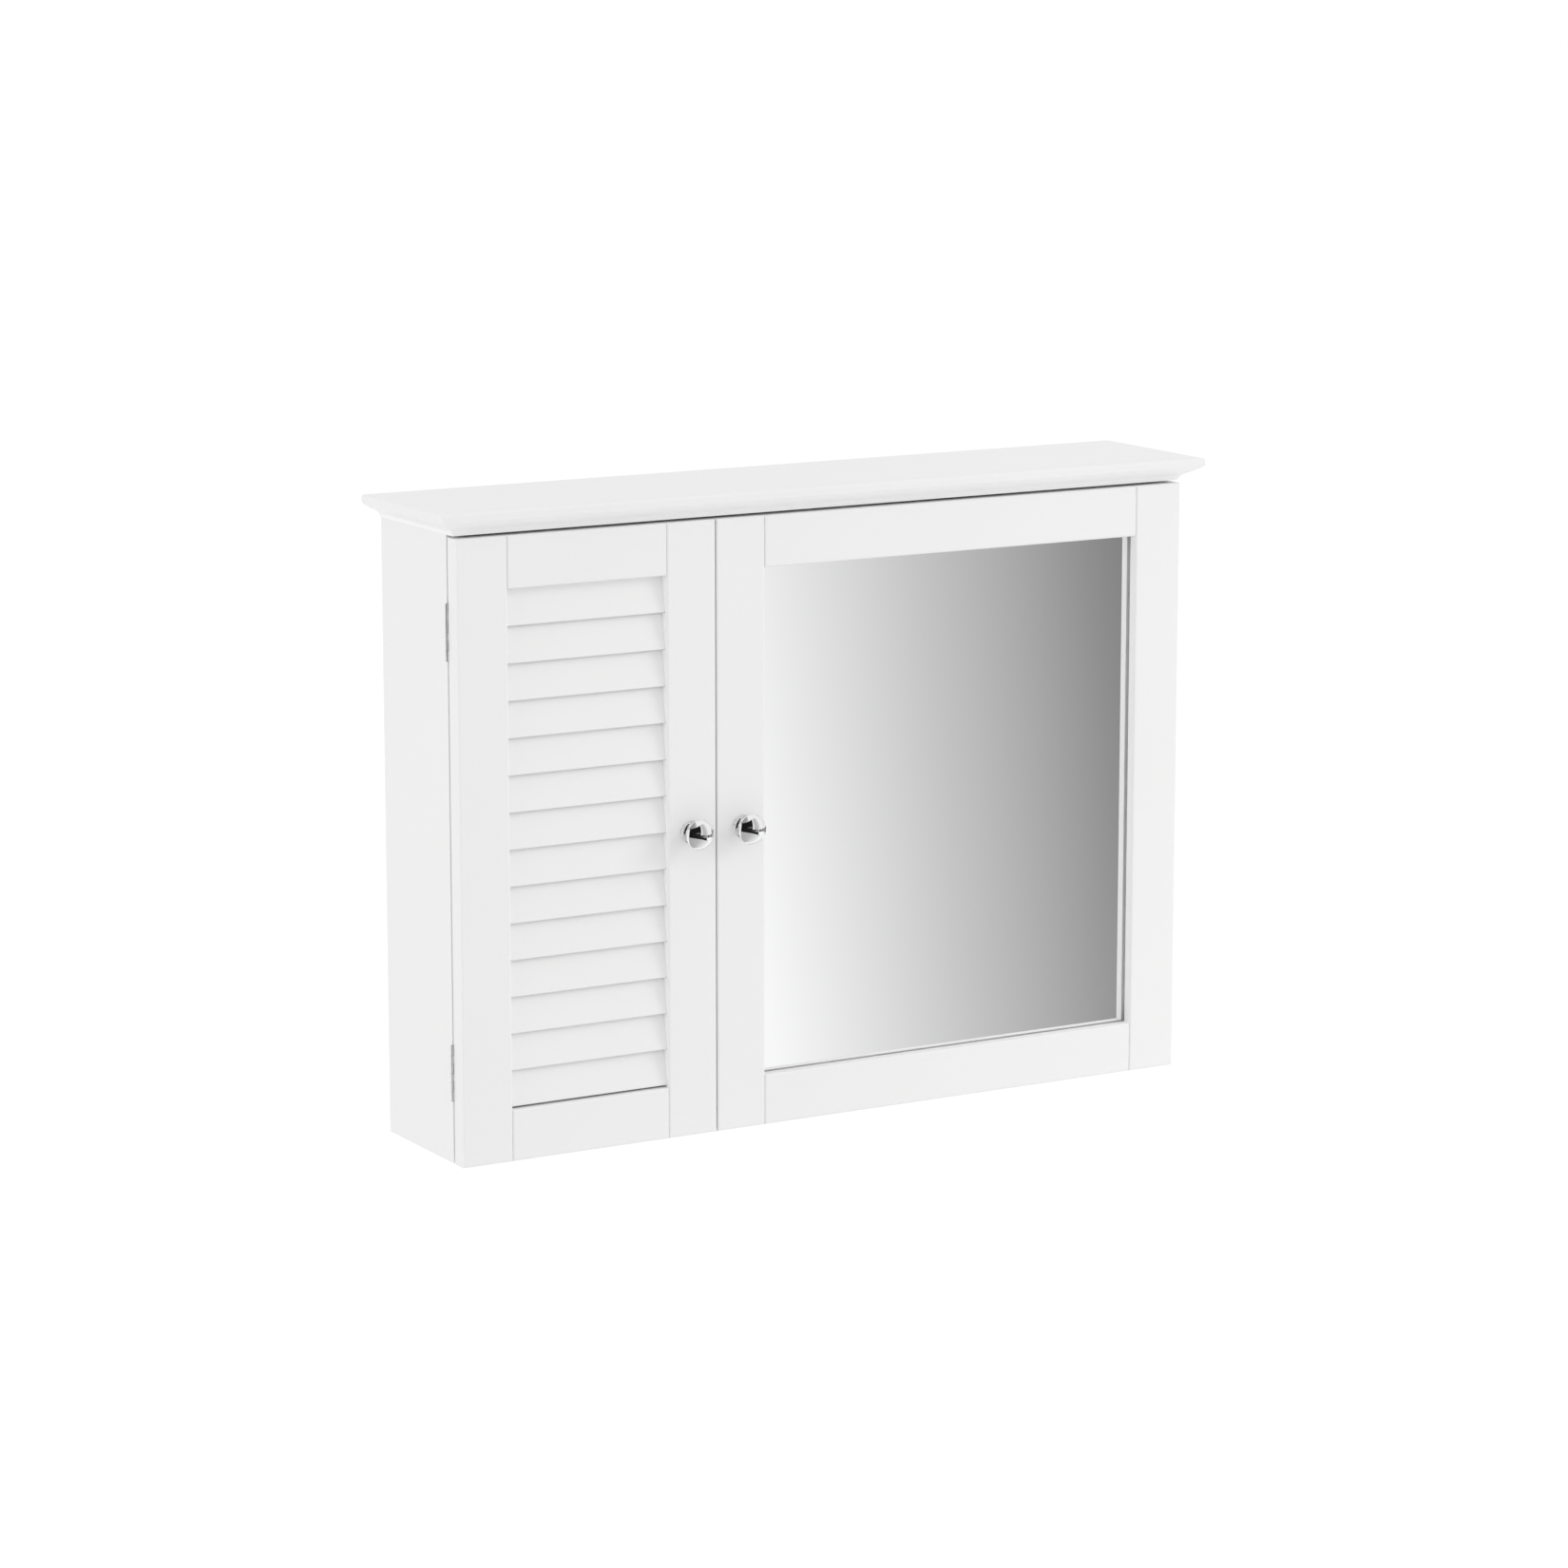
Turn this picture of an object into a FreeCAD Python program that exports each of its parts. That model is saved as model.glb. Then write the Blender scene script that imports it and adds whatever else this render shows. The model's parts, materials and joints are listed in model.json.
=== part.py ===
# Mirrored wall cabinet: a painted carcass under a moulded top, with a louvred
# door on the left and a mirror door on the right.
# Millimetres. X runs to the right seen from the front, Y towards the wall, Z up.
# The origin is on the wall plane, midway between the two wall-screw holes.
import FreeCAD, Part
import math
import os

# Carcass
carcass_width = 645.0
carcass_height = 480.0
carcass_depth = 110.0
board = 15.0
edge_ease = 0.8
back_thickness = 3.0
back_lap = 8.0
back_clearance = 0.5
hanging_rail_height = 60.0
wall_hole_spacing = 500.0
wall_hole_radius = 3.0

# Moulded top
top_thickness = 18.0
top_side_overhang = 16.0
top_front_overhang = 28.0
moulding_run = 15.4
moulding_knee = 10.8
moulding_knee_height = 5.6
moulding_band = 6.0
moulding_quirk = 0.3
moulding_round = 0.4
moulding_hollow = 1.0
top_edge_round = 1.6

# Shelves and their pins
lower_shelf_height = 150.0
upper_shelf_height = 300.0
shelf_setback = 12.0
shelf_clearance = 1.0
pin_peg_radius = 2.5
pin_peg_cover = 6.0
pin_spade_length = 8.0
pin_spade_width = 8.0
pin_spade_thickness = 2.5
pin_root = 2.0
pin_row_inset = 24.0
pin_row_pitch = 32.0
pin_row_steps = (-1, 0, 1)

# Doors
left_door_width = 219.0
door_thickness = 15.0
door_top_gap = 2.0
meeting_gap = 1.0
stile_width = 42.0
door_rail_width = 40.0
door_edge_round = 1.6

# Louvre slats
slat_count = 14
slat_thickness = 4.0
slat_gap = 1.3
slat_overlap = 5.0
slat_tongue = 5.0
slat_foot_gap = 1.75
slat_back_room = 1.2
slat_edge_round = 1.2
slat_clearance = 0.1
slat_hood_clearance = 0.5

# Mirror and what holds it
mirror_rebate = 8.0
glass_thickness = 3.0
silver_thickness = 0.2
backing_thickness = 2.0
backing_recess = 1.8
glass_clearance = 1.0
point_width = 8.0
point_thickness = 0.6
point_reach = 6.0
point_bite = 7.0
point_inset = 60.0
points_per_side = 4

# Knobs
knob_inset = 22.3
knob_base_radius = 9.0
knob_base_edge = 1.2
knob_neck_radius = 4.5
knob_neck_height = 5.5
knob_cap_radius = 12.0
knob_cap_height = 13.2
knob_rim = 2.6
knob_projection = 20.8
knob_screw_radius = 2.0
knob_screw_bite = 8.0
knob_screw_head_radius = 4.0
knob_screw_head = 2.4
knob_screw_slack = 0.3

# Hinges
leaf_thickness = 0.7
leaf_clearance = 0.6
leaf_length = 42.0
leaf_margin = 2.0
leaf_screw_inset = 8.0
hinge_inset = 50.0
barrel_tuck = 0.45
pin_radius = 0.6
pin_clearance = 0.05
pin_head_radius = 1.2
pin_head_height = 0.8
knuckle_count = 6
knuckle_gap = 0.2
knuckle_clearance = 0.35

# Countersunk screws of hinge leaves, strike plates and catches
screw_radius = 1.25
screw_head_radius = 2.2
screw_head_depth = 0.9
screw_tip = 2.5
screw_tip_radius = 0.2
screw_cover = 3.0
screw_slot_width = 0.6
screw_slot_depth = 0.4

# Catches, strike plates and bumpers
catch_length = 24.0
catch_depth = 16.0
catch_height = 12.0
catch_ear = 8.0
catch_ear_thickness = 2.5
catch_wall = 2.0
catch_clearance = 0.3
magnet_proud = 1.0
magnet_depth = 9.0
strike_length = 30.0
strike_height = 9.0
strike_thickness = 1.0
bumper_radius = 4.0
bumper_clearance = 0.3
bumper_round = 0.6
bumper_inset = 25.0

# Cam fittings, dowels and nails
cam_radius = 7.5
cam_cover = 3.0
cam_setback = 24.0
cam_slot_width = 1.6
cam_slot_depth = 2.0
cam_bolt_radius = 3.2
cam_bolt_waist = 2.0
cam_bolt_thread = 2.5
cam_bolt_cover = 4.0
cam_inset = 30.0
cam_pocket_clearance = 0.3
dowel_radius = 4.0
dowel_cover = 5.0
door_dowel_radius = 3.0
door_dowel_length = 30.0
door_dowel_inset = 11.0
nail_radius = 0.7
nail_length = 16.0
nail_head_radius = 1.6
nail_head = 0.8
nail_inset = 20.0
nails_per_side = 5
nails_per_row = 6

# Radial room of a fastener in its hole
hole_clearance = 0.05

# Reference planes and faces
half_width = carcass_width / 2
inner_half = half_width - board
under_top = hanging_rail_height / 2
floor_z = under_top - carcass_height
bottom_top = floor_z + board
front = -carcass_depth
back_face = -back_thickness
door_gap = 2 * leaf_thickness + leaf_clearance
door_back = front - door_gap
door_front = door_back - door_thickness
door_top = under_top - door_top_gap
door_middle = (floor_z + door_top) / 2
opening_low = floor_z + door_rail_width
opening_high = door_top - door_rail_width
slat_rise = (opening_high - opening_low - slat_foot_gap) / slat_count
slat_lean = math.asin((slat_thickness + slat_gap) / slat_rise)
slat_width = (slat_rise + slat_overlap) / math.cos(slat_lean)
slat_depth = slat_width * math.sin(slat_lean) + slat_thickness * math.cos(slat_lean)
slat_front = door_back - slat_back_room - slat_depth
backing_back = door_back - backing_recess
backing_front = backing_back - backing_thickness
silver_front = backing_front - silver_thickness
glass_front = silver_front - glass_thickness
screw_length = door_thickness - screw_cover
barrel_radius = pin_radius + pin_clearance + leaf_thickness
hinge_axis_x = half_width + barrel_radius - barrel_tuck
hinge_axis_y = front - door_gap / 2
NEAR = 1e-4
EIGHTH_TURN = math.sqrt(0.5)

V = FreeCAD.Vector
LEFT = -1
RIGHT = 1
WALLWARD = V(0, 1, 0)
OUTWARD = V(0, -1, 0)
UP = V(0, 0, 1)
DOWN = V(0, 0, -1)


def block(x, y, z):
    """Box between two values on each axis, given in either order."""
    size = [abs(pair[1] - pair[0]) for pair in (x, y, z)]
    return Part.makeBox(*size, V(min(x), min(y), min(z)))


def rod(radius, start, end):
    """Cylinder from one point to another."""
    return Part.makeCylinder(radius, (end - start).Length, start, end - start)


def ease(solid, radius, *rules):
    """Rounds the edges whose ends all lie at the coordinates that one of the rules gives."""

    def lies_on(edge, rule):
        ends = [vertex.Point for vertex in edge.Vertexes]
        return all(abs(getattr(end, axis) - value) < NEAR for end in ends for axis, value in rule.items())

    chosen = [edge for edge in solid.Edges if any(lies_on(edge, rule) for rule in rules)]
    return solid.makeFillet(radius, chosen)


def turned(profile, seat, direction):
    """Solid of revolution of a closed (radius, height) outline, stood on seat along direction."""
    points = [V(radius, 0, height) for radius, height in profile]
    face = Part.Face(Part.makePolygon(points + points[:1]))
    return stand(face.revolve(V(), UP, 360), seat, direction)


def stand(solid, seat, direction):
    """Moves a solid made at the origin along +Z to a seat, along a direction."""
    solid = solid.copy()
    solid.Placement = FreeCAD.Placement(seat, FreeCAD.Rotation(UP, direction))
    return solid


def spread(low, high, count):
    """Evenly spaced values from low to high, both ends included."""
    return [low + (high - low) * i / (count - 1) for i in range(count)]


def drilled(piece, holes):
    """Piece with every hole that reaches it taken out."""
    reached = [hole for hole in holes if hole.BoundBox.intersect(piece.BoundBox)]
    return piece.cut(reached) if reached else piece


# Fasteners: each function gives the solid and the hole that it needs

def plate_screw(seat, direction):
    """Countersunk screw with a slotted head, its head flush at seat."""

    def outline(grow):
        return [
            (0, 0),
            (screw_head_radius + grow, 0),
            (screw_radius + grow, screw_head_depth),
            (screw_radius + grow, screw_length - screw_tip),
            (screw_tip_radius + grow, screw_length),
            (0, screw_length),
        ]

    half_slot = screw_slot_width / 2
    slot = block((-screw_head_radius, screw_head_radius), (-half_slot, half_slot), (0, screw_slot_depth))
    screw = turned(outline(0), seat, direction).cut(stand(slot, seat, direction))
    return screw, turned(outline(hole_clearance), seat, direction)


def dowel(radius, middle, direction, length):
    """Round dowel, half of it on each side of middle."""
    half = direction * (length / 2)
    return (
        rod(radius, middle - half, middle + half),
        rod(radius + hole_clearance, middle - half, middle + half),
    )


def nail(seat, direction):
    """Flat-headed nail, its head flush at seat."""

    def outline(grow):
        return [
            (0, 0),
            (nail_head_radius + grow, 0),
            (nail_head_radius + grow, nail_head),
            (nail_radius + grow, nail_head),
            (nail_radius + grow, nail_length),
            (0, nail_length),
        ]

    return turned(outline(0), seat, direction), turned(outline(hole_clearance), seat, direction)


def cam_fitting(joint, direction, face_direction):
    """Cam bolt across a joint between two boards, and the cam lock that draws on it.

    The thread goes back into the first board, the shank forward into the second, where the lock sits
    in a round pocket that opens on the board's face in face_direction.
    """
    thread = board - cam_bolt_cover
    head = cam_setback + cam_bolt_radius
    waist = cam_setback - cam_bolt_radius

    def bolt_outline(grow):
        return [
            (0, -thread),
            (cam_bolt_thread + grow, -thread),
            (cam_bolt_thread + grow, 0),
            (cam_bolt_radius + grow, 0),
            (cam_bolt_radius + grow, waist - cam_bolt_radius),
            (cam_bolt_waist + grow, waist),
            (cam_bolt_waist + grow, cam_setback),
            (cam_bolt_radius + grow, cam_setback),
            (cam_bolt_radius + grow, head),
            (0, head),
        ]

    bolt = turned(bolt_outline(0), joint, direction)
    shank_hole = rod(cam_bolt_radius + hole_clearance, joint, joint + direction * head)
    thread_hole = rod(cam_bolt_thread + hole_clearance, joint - direction * thread, joint)
    depth = board - cam_cover
    face = joint + direction * cam_setback + face_direction * (board / 2)
    lock = rod(cam_radius, face - face_direction * depth, face)
    pocket = rod(cam_radius + hole_clearance, face - face_direction * depth, face)
    far_end = joint + direction * (head + cam_pocket_clearance)
    passage = rod(cam_bolt_radius + cam_pocket_clearance, joint, far_end)
    half_slot = cam_slot_width / 2
    slot = stand(
        block((-cam_radius, cam_radius), (-half_slot, half_slot), (-cam_slot_depth, 0)), face, face_direction
    )
    return bolt, lock.cut([passage, slot]), [shank_hole, thread_hole, pocket]


# Carcass boards

def side_panel(side):
    """Upright side board with a rebate for the back panel, its outer edges eased."""
    outer = side * half_width
    inner = side * inner_half
    panel = ease(
        block((inner, outer), (0, front), (floor_z, under_top)),
        edge_ease,
        {"x": outer, "y": front},
        {"x": inner, "y": front},
        {"x": outer, "z": floor_z},
        {"y": front, "z": floor_z},
    )
    rebate = block((inner, inner + side * back_lap), (0, back_face), (bottom_top - back_lap, under_top))
    return panel.cut(rebate)


def bottom_panel():
    """Board between the sides, with a rebate along its upper back edge."""
    panel = block((-inner_half, inner_half), (0, front), (floor_z, bottom_top))
    panel = ease(panel, edge_ease, {"y": front, "z": floor_z}, {"y": front, "z": bottom_top})
    return panel.cut(block((-inner_half, inner_half), (0, back_face), (bottom_top - back_lap, bottom_top)))


def back_panel():
    """Thin board in the rebates of the sides and the bottom."""
    reach = inner_half + back_lap - back_clearance
    return block((-reach, reach), (0, back_face), (bottom_top - back_lap + back_clearance, under_top))


def hanging_rail():
    """Rail under the top, in front of the back panel, that carries the cabinet on the wall."""
    return block((-inner_half, inner_half), (back_face, back_face - board), (-under_top, under_top))


def moulding_edges(place):
    """Edges of the moulded rim from its foot to its top.

    place maps (inset from the outermost face, height above the underside) to a point. The rim is hollow up
    to its knee and round above it, then has a small quirk, an upright band and a rounded top edge.
    """
    shoulder = top_thickness - moulding_band
    foot = (moulding_run, 0)
    knee = (moulding_knee, moulding_knee_height)
    crest = (moulding_quirk, shoulder)

    def bowed(low, high, bow):
        """Arc from a lower to a higher point of the rim, its middle moved into the wood by a bow."""
        run = low[0] - high[0]
        rise = high[1] - low[1]
        length = math.hypot(run, rise)
        inset = (low[0] + high[0]) / 2 + rise / length * bow
        height = (low[1] + high[1]) / 2 + run / length * bow
        return Part.Arc(place(*low), place(inset, height), place(*high)).toShape()

    corner = 1 - EIGHTH_TURN
    return [
        bowed(foot, knee, moulding_hollow),
        bowed(knee, crest, -moulding_round),
        Part.makeLine(place(*crest), place(0, shoulder)),
        Part.makeLine(place(0, shoulder), place(0, top_thickness - top_edge_round)),
        Part.Arc(
            place(0, top_thickness - top_edge_round),
            place(top_edge_round * corner, top_thickness - top_edge_round * corner),
            place(top_edge_round, top_thickness),
        ).toShape(),
    ]


def cornice_top():
    """Moulded top: the front profile run across the width, met by the side profiles run front to back."""
    half = half_width + top_side_overhang
    nose = front - top_front_overhang
    crown = under_top + top_thickness

    front_rim = moulding_edges(lambda inset, height: V(-half, nose + inset, under_top + height))
    start = front_rim[0].Vertexes[0].Point
    end = front_rim[-1].Vertexes[-1].Point
    back_low = V(-half, 0, under_top)
    back_high = V(-half, 0, crown)
    corners = [end, back_high, back_low, start]
    closing = [Part.makeLine(a, b) for a, b in zip(corners, corners[1:])]
    across = Part.Face(Part.Wire(front_rim + closing)).extrude(V(2 * half, 0, 0))

    left_rim = moulding_edges(lambda inset, height: V(inset - half, 0, under_top + height))
    right_rim = moulding_edges(lambda inset, height: V(half - inset, 0, under_top + height))
    top_line = Part.makeLine(left_rim[-1].Vertexes[-1].Point, right_rim[-1].Vertexes[-1].Point)
    base_line = Part.makeLine(right_rim[0].Vertexes[0].Point, left_rim[0].Vertexes[0].Point)
    ring = Part.Wire(Part.__sortEdges__(left_rim + right_rim + [top_line, base_line]))
    lengthwise = Part.Face(ring).extrude(V(0, nose, 0))
    return across.common(lengthwise).removeSplitter()


def shelf(height):
    """Loose shelf whose underside is a height above the bottom panel."""
    reach = inner_half - shelf_clearance
    low = bottom_top + height
    edge = front + shelf_setback
    plank = block((-reach, reach), (back_face - shelf_clearance, edge), (low, low + board))
    return ease(plank, edge_ease, {"y": edge, "z": low}, {"y": edge, "z": low + board})


def pin_rows():
    """Distances from the wall of the two rows of shelf-pin holes."""
    return (back_face - pin_row_inset, front + shelf_setback + pin_row_inset)


def shelf_pins():
    """Pins under both shelves, and every hole of their rows."""
    pins = []
    holes = []
    for height in (lower_shelf_height, upper_shelf_height):
        for side in (LEFT, RIGHT):
            for y in pin_rows():
                for step in pin_row_steps:
                    top = bottom_top + height + step * pin_row_pitch
                    inner = side * inner_half
                    mouth = V(inner, y, top - pin_peg_radius)
                    deep = mouth + V(side * (board - pin_peg_cover), 0, 0)
                    holes.append(rod(pin_peg_radius + hole_clearance, mouth, deep))
                    if step:
                        continue
                    peg = rod(pin_peg_radius, mouth - V(side * pin_root, 0, 0), deep)
                    spade = block(
                        (inner, inner - side * pin_spade_length),
                        (y - pin_spade_width / 2, y + pin_spade_width / 2),
                        (top - pin_spade_thickness, top),
                    )
                    pins.append(peg.fuse(spade).removeSplitter())
    return pins, holes


def carcass_fasteners():
    """Cam fittings and dowels of the carcass joints, nails of the back panel, and all their holes."""
    bolts = []
    locks = []
    dowels = []
    nails = []
    nail_seats = []
    holes = []
    middle_x = half_width - board / 2
    middle_z = floor_z + board / 2
    cam_rows = (back_face - cam_inset, front + cam_inset)
    middle_y = (back_face + front) / 2
    for side in (LEFT, RIGHT):
        inward = V(-side, 0, 0)
        top_joints = [(V(side * middle_x, y, under_top), DOWN, inward) for y in cam_rows]
        low_joints = [(V(side * inner_half, y, middle_z), inward, DOWN) for y in cam_rows]
        for joint, direction, face_direction in top_joints + low_joints:
            bolt, lock, cam_holes = cam_fitting(joint, direction, face_direction)
            bolts.append(bolt)
            locks.append(lock)
            holes += cam_holes
        rail_y = back_face - board / 2
        joints = [(V(side * inner_half, rail_y, z), inward) for z in (-under_top / 2, under_top / 2)]
        joints.append((V(side * middle_x, middle_y, under_top), UP))
        joints.append((V(side * inner_half, middle_y, middle_z), inward))
        for middle, direction in joints:
            peg, hole = dowel(dowel_radius, middle, direction, 2 * (board - dowel_cover))
            dowels.append(peg)
            holes.append(hole)
        for z in spread(bottom_top + nail_inset, -under_top - nail_inset, nails_per_side):
            nail_seats.append(V(side * (inner_half + back_lap / 2), 0, z))
    for x in spread(nail_inset - inner_half, inner_half - nail_inset, nails_per_row):
        nail_seats += [V(x, 0, bottom_top - back_lap / 2), V(x, 0, -under_top / 2)]
    for seat in nail_seats:
        body, hole = nail(seat, OUTWARD)
        nails.append(body)
        holes.append(hole)
    for side in (LEFT, RIGHT):
        x = side * wall_hole_spacing / 2
        holes.append(rod(wall_hole_radius, V(x, 0, 0), V(x, back_face - board, 0)))
    return bolts, locks, dowels, nails, holes


# Hinges

def hinge_middles():
    """Heights of the middles of the lower and upper hinges."""
    reach = hinge_inset + leaf_length / 2
    return (floor_z + reach, door_top - reach)


def hinge_leaf(side, middle, face, step, own):
    """Leaf that lies on a face, thickness along step, with every second knuckle, counted from the top.

    own is 0 for the knuckles that start at the top and 1 for those between them.
    """
    axis_x = side * hinge_axis_x
    top = middle + leaf_length / 2
    low = top - leaf_length
    pitch = leaf_length / knuckle_count
    inner_edge = side * (inner_half + leaf_margin)
    leaf = block((axis_x, inner_edge), (face, face + step * leaf_thickness), (low, top))
    knuckles = []
    notches = []
    for i in range(knuckle_count):
        high_end = V(axis_x, hinge_axis_y, top - i * pitch)
        low_end = high_end - V(0, 0, pitch)
        shy_high = V(0, 0, knuckle_gap / 2 if i > 0 else 0)
        shy_low = V(0, 0, knuckle_gap / 2 if i < knuckle_count - 1 else 0)
        if i % 2 == own:
            knuckles.append(rod(barrel_radius, low_end + shy_low, high_end - shy_high))
        else:
            notches.append(rod(barrel_radius + knuckle_clearance, low_end - shy_low, high_end + shy_high))
    bore = rod(pin_radius + pin_clearance, V(axis_x, hinge_axis_y, low), V(axis_x, hinge_axis_y, top))
    return leaf.cut(notches).fuse(knuckles).cut(bore).removeSplitter()


def leaf_screws(side, middle, face, direction):
    """Screws of one leaf, heads flush with its face."""
    x = side * (half_width - board / 2)
    reach = leaf_length / 2 - leaf_screw_inset
    return [plate_screw(V(x, face, z), direction) for z in (middle - reach, middle + reach)]


def hinge_pin(side, middle):
    """Pin with a head on each end, the upper head resting on the top knuckle."""
    axis = V(side * hinge_axis_x, hinge_axis_y, middle - leaf_length / 2)
    return turned(
        [
            (0, -knuckle_gap - pin_head_height),
            (pin_radius, -knuckle_gap - pin_head_height),
            (pin_head_radius, -knuckle_gap - pin_head_height / 2),
            (pin_head_radius, -knuckle_gap),
            (pin_radius, -knuckle_gap),
            (pin_radius, leaf_length),
            (pin_head_radius, leaf_length),
            (pin_head_radius, leaf_length + pin_head_height / 2),
            (pin_radius, leaf_length + pin_head_height),
            (0, leaf_length + pin_head_height),
        ],
        axis,
        UP,
    )


def hinges(side):
    """Frame leaves, door leaves and pins of one side, with the screws and holes of each leaf."""
    frame_leaves = []
    door_leaves = []
    pins = []
    frame_screws = []
    door_screws = []
    for middle in hinge_middles():
        frame_leaves.append(hinge_leaf(side, middle, front, -1, 0))
        door_leaves.append(hinge_leaf(side, middle, door_back, 1, 1))
        pins.append(hinge_pin(side, middle))
        frame_screws += leaf_screws(side, middle, front - leaf_thickness, WALLWARD)
        door_screws += leaf_screws(side, middle, door_back + leaf_thickness, OUTWARD)
    frame_holes = [hole for _, hole in frame_screws]
    door_holes = [hole for _, hole in door_screws]
    return {
        "frame_leaves": [drilled(leaf, frame_holes) for leaf in frame_leaves],
        "door_leaves": [drilled(leaf, door_holes) for leaf in door_leaves],
        "pins": pins,
        "frame_screws": [screw for screw, _ in frame_screws],
        "door_screws": [screw for screw, _ in door_screws],
        "frame_holes": frame_holes,
        "door_holes": door_holes,
    }


# Doors

def door_spans(side):
    """Hinge edge, meeting edge and the opening's two edges of a door, as X values."""
    split = -half_width + left_door_width
    hinge_edge = side * half_width
    meeting_edge = split if side == LEFT else split + meeting_gap
    return hinge_edge, meeting_edge, hinge_edge - side * stile_width, meeting_edge + side * stile_width


def door_frame(side):
    """Two stiles of full height and two rails between them, with rounded front edges."""
    hinge_edge, meeting_edge, opening_hinge, opening_meet = door_spans(side)
    depth = (door_back, door_front)
    stile_height = (floor_z, door_top)
    rail_length = (opening_hinge, opening_meet)

    def bar(x, z):
        return ease(block(x, depth, z), door_edge_round, {"y": door_front})

    hinge_stile = bar((hinge_edge, opening_hinge), stile_height)
    return {
        "hinge_stile": ease(hinge_stile, edge_ease, {"x": hinge_edge, "y": door_back}),
        "meeting_stile": bar((meeting_edge, opening_meet), stile_height),
        "top_rail": bar(rail_length, (opening_high, door_top)),
        "bottom_rail": bar(rail_length, (floor_z, opening_low)),
    }


def door_dowels(side):
    """Two dowels in each corner joint of a door."""
    _, _, opening_hinge, opening_meet = door_spans(side)
    y = (door_back + door_front) / 2
    heights = []
    for low, high in ((floor_z, opening_low), (opening_high, door_top)):
        heights += [low + door_dowel_inset, high - door_dowel_inset]
    return [
        dowel(door_dowel_radius, V(x, y, z), V(1, 0, 0), door_dowel_length)
        for x in (opening_hinge, opening_meet)
        for z in heights
    ]


def slat_prism(index, x, grow):
    """Leaning slat between two X values, counted from the bottom, grown all round by a clearance."""
    along = V(0, math.sin(slat_lean), math.cos(slat_lean))
    across = V(0, math.cos(slat_lean), -math.sin(slat_lean))
    foot = V(x[0], slat_front, opening_low + slat_foot_gap + index * slat_rise) - (along + across) * grow
    length = along * (slat_width + 2 * grow)
    thickness = across * (slat_thickness + 2 * grow)
    corners = [foot, foot + length, foot + length + thickness, foot + thickness]
    face = Part.Face(Part.makePolygon(corners + corners[:1]))
    return face.extrude(V(x[1] - x[0], 0, 0)), foot


def slat(index):
    """Slat with its lower front edge rounded, let into both stiles."""
    _, _, opening_hinge, opening_meet = door_spans(LEFT)
    prism, foot = slat_prism(index, (opening_hinge - slat_tongue, opening_meet + slat_tongue), 0)
    return ease(prism, slat_edge_round, {"y": foot.y, "z": foot.z})


def slat_mortises(x):
    """Sockets of all slats between two X values."""
    return [slat_prism(index, x, slat_clearance)[0] for index in range(slat_count)]


def slat_hood():
    """Rebate behind the top rail's lower edge, over the top slat."""
    _, _, opening_hinge, opening_meet = door_spans(LEFT)
    lip = slat_front + slat_rise * math.tan(slat_lean) - slat_hood_clearance
    height = opening_high + slat_overlap + slat_hood_clearance
    return block((opening_hinge, opening_meet), (lip, door_back), (opening_high, height))


def mirror_sheet(front_face, rear_face):
    """Sheet that fills the mirror rebate with room at its sides and top, and stands on its lower edge."""
    _, _, opening_hinge, opening_meet = door_spans(RIGHT)
    room = mirror_rebate - glass_clearance
    return block(
        (opening_meet - room, opening_hinge + room),
        (front_face, rear_face),
        (opening_low - mirror_rebate, opening_high + room),
    )


def mirror_recess():
    """Rebate of the mirror door, open to the back."""
    _, _, opening_hinge, opening_meet = door_spans(RIGHT)
    return block(
        (opening_meet - mirror_rebate, opening_hinge + mirror_rebate),
        (glass_front, door_back),
        (opening_low - mirror_rebate, opening_high + mirror_rebate),
    )


def glazing_points():
    """Flat steel points pushed into the walls of the rebate, lying on the backing board, and their slits."""
    _, _, opening_hinge, opening_meet = door_spans(RIGHT)
    left = opening_meet - mirror_rebate
    right = opening_hinge + mirror_rebate
    low = opening_low - mirror_rebate
    high = opening_high + mirror_rebate
    walls = []
    for z in spread(low + point_inset, high - point_inset, points_per_side):
        walls += [(V(left, 0, z), V(-1, 0, 0)), (V(right, 0, z), V(1, 0, 0))]
    for x in spread(left + point_inset, right - point_inset, points_per_side):
        walls += [(V(x, 0, low), DOWN), (V(x, 0, high), UP)]

    def plate(wall, into, tail, y):
        half = into.cross(WALLWARD) * (point_width / 2)
        start = wall + V(0, y[0], 0)
        outline = [
            start - into * tail - half,
            start - into * tail + half,
            start + half,
            start + into * point_bite,
            start - half,
        ]
        face = Part.Face(Part.makePolygon(outline + outline[:1]))
        return face.extrude(V(0, y[1] - y[0], 0))

    rear = backing_back + point_thickness
    slit = (backing_back - hole_clearance, rear + hole_clearance)
    return [
        (plate(wall, into, point_reach, (backing_back, rear)), plate(wall, into, glass_clearance, slit))
        for wall, into in walls
    ]


# Knobs

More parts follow.
